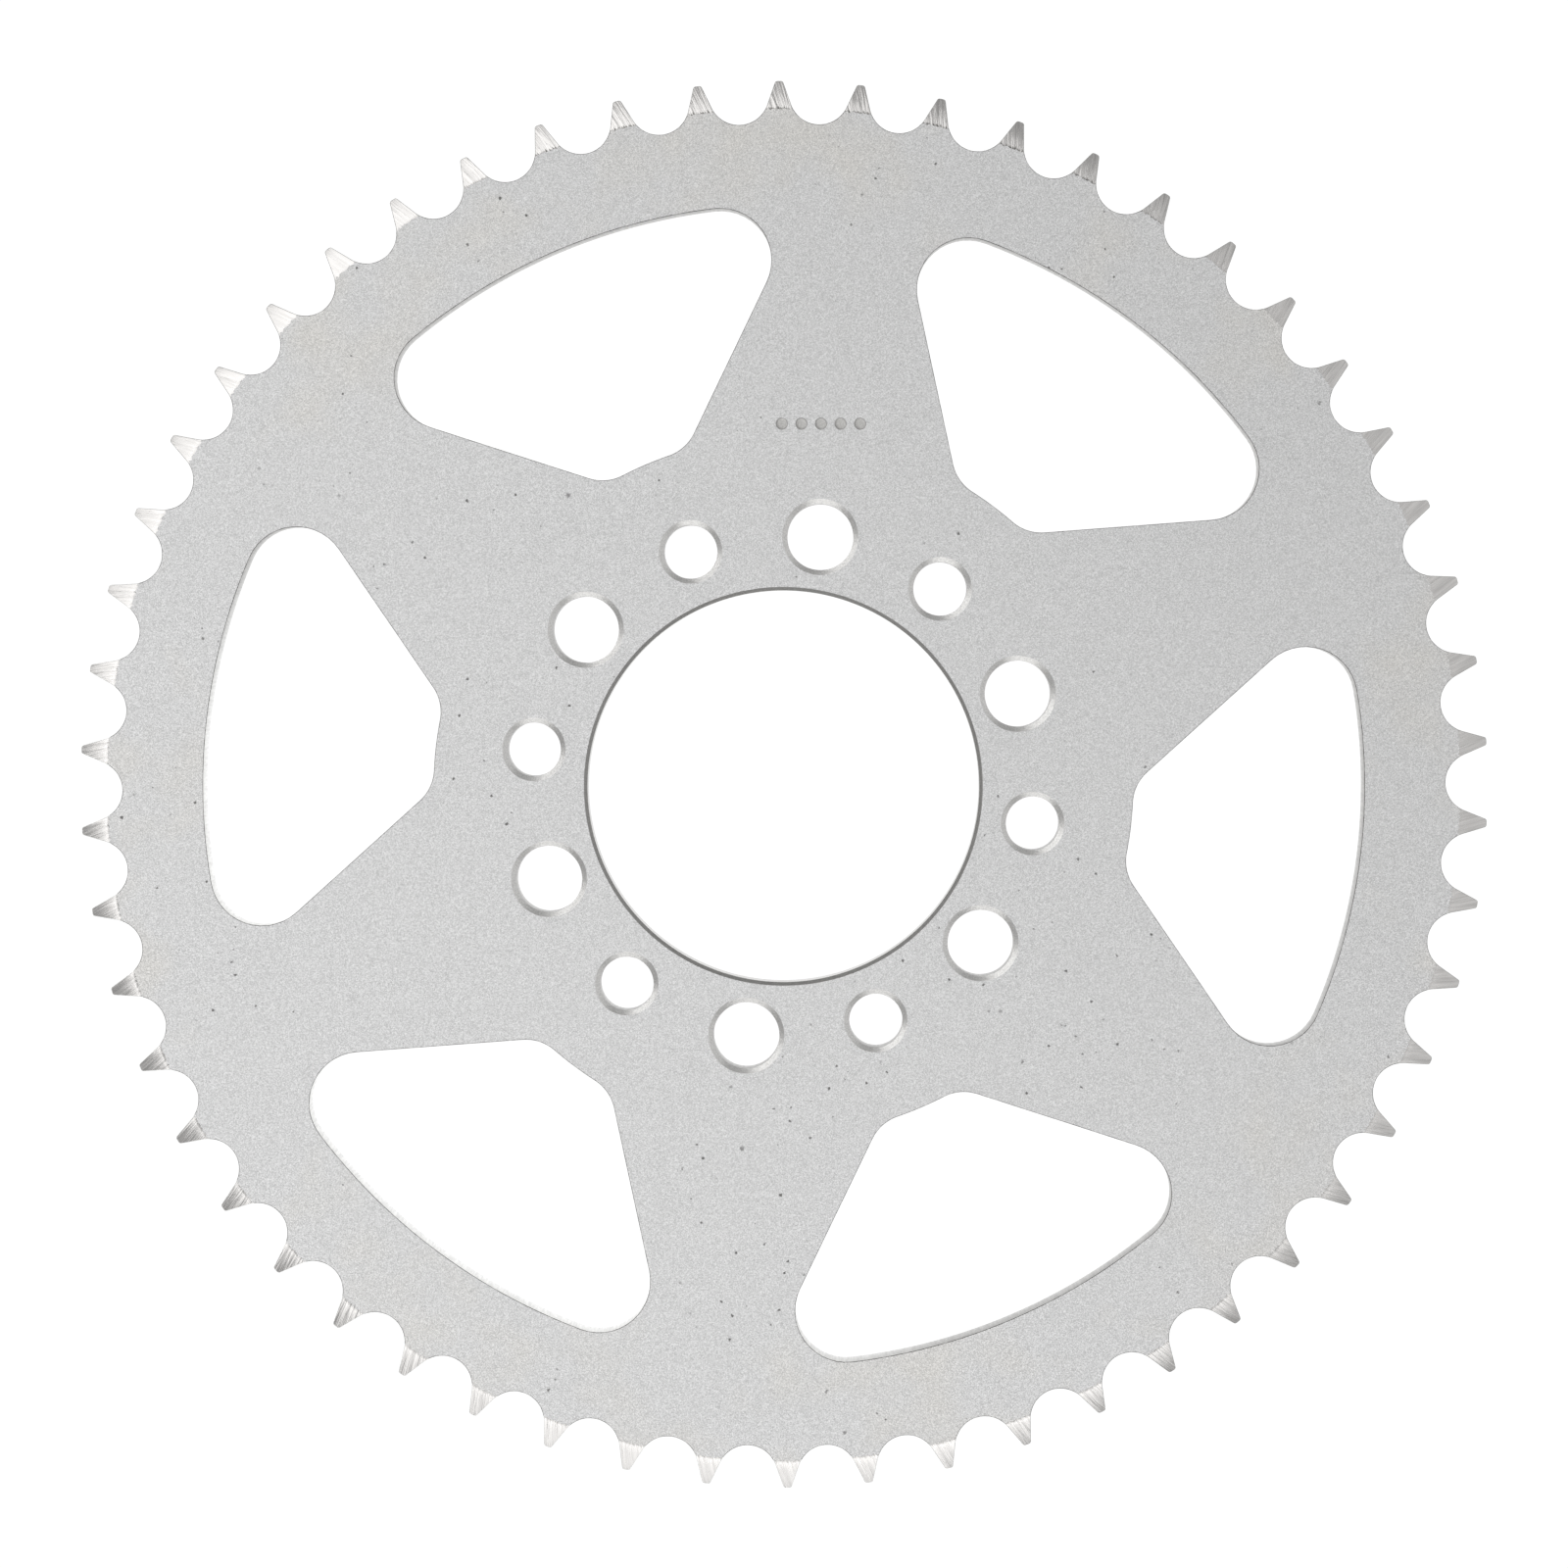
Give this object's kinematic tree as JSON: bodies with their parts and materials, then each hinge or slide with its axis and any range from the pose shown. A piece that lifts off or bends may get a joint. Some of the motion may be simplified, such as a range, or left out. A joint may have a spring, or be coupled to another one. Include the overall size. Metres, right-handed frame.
{
  "type": "rear sprocket",
  "caption": "Flat steel rear chain sprocket for a motorcycle, with a toothed rim, open windows between wide spokes, a centre bore and two rings of bolt holes on one circle.",
  "frame": {"origin": "on the bore axis, at the back face that the sprocket lies on", "axes": "+Z along the bore axis, from the back face to the front face; +X through the middle of one small bolt hole"},
  "size_m": [0.2236, 0.2234, 0.0072],
  "materials": {
    "steel_plate": "fine blasted and bright zinc plated, matte, with bright ground tooth reliefs and machined countersinks"
  },
  "bodies": {
    "root": {"sprocket_plate": "steel_plate"}
  },
  "joints": []
}
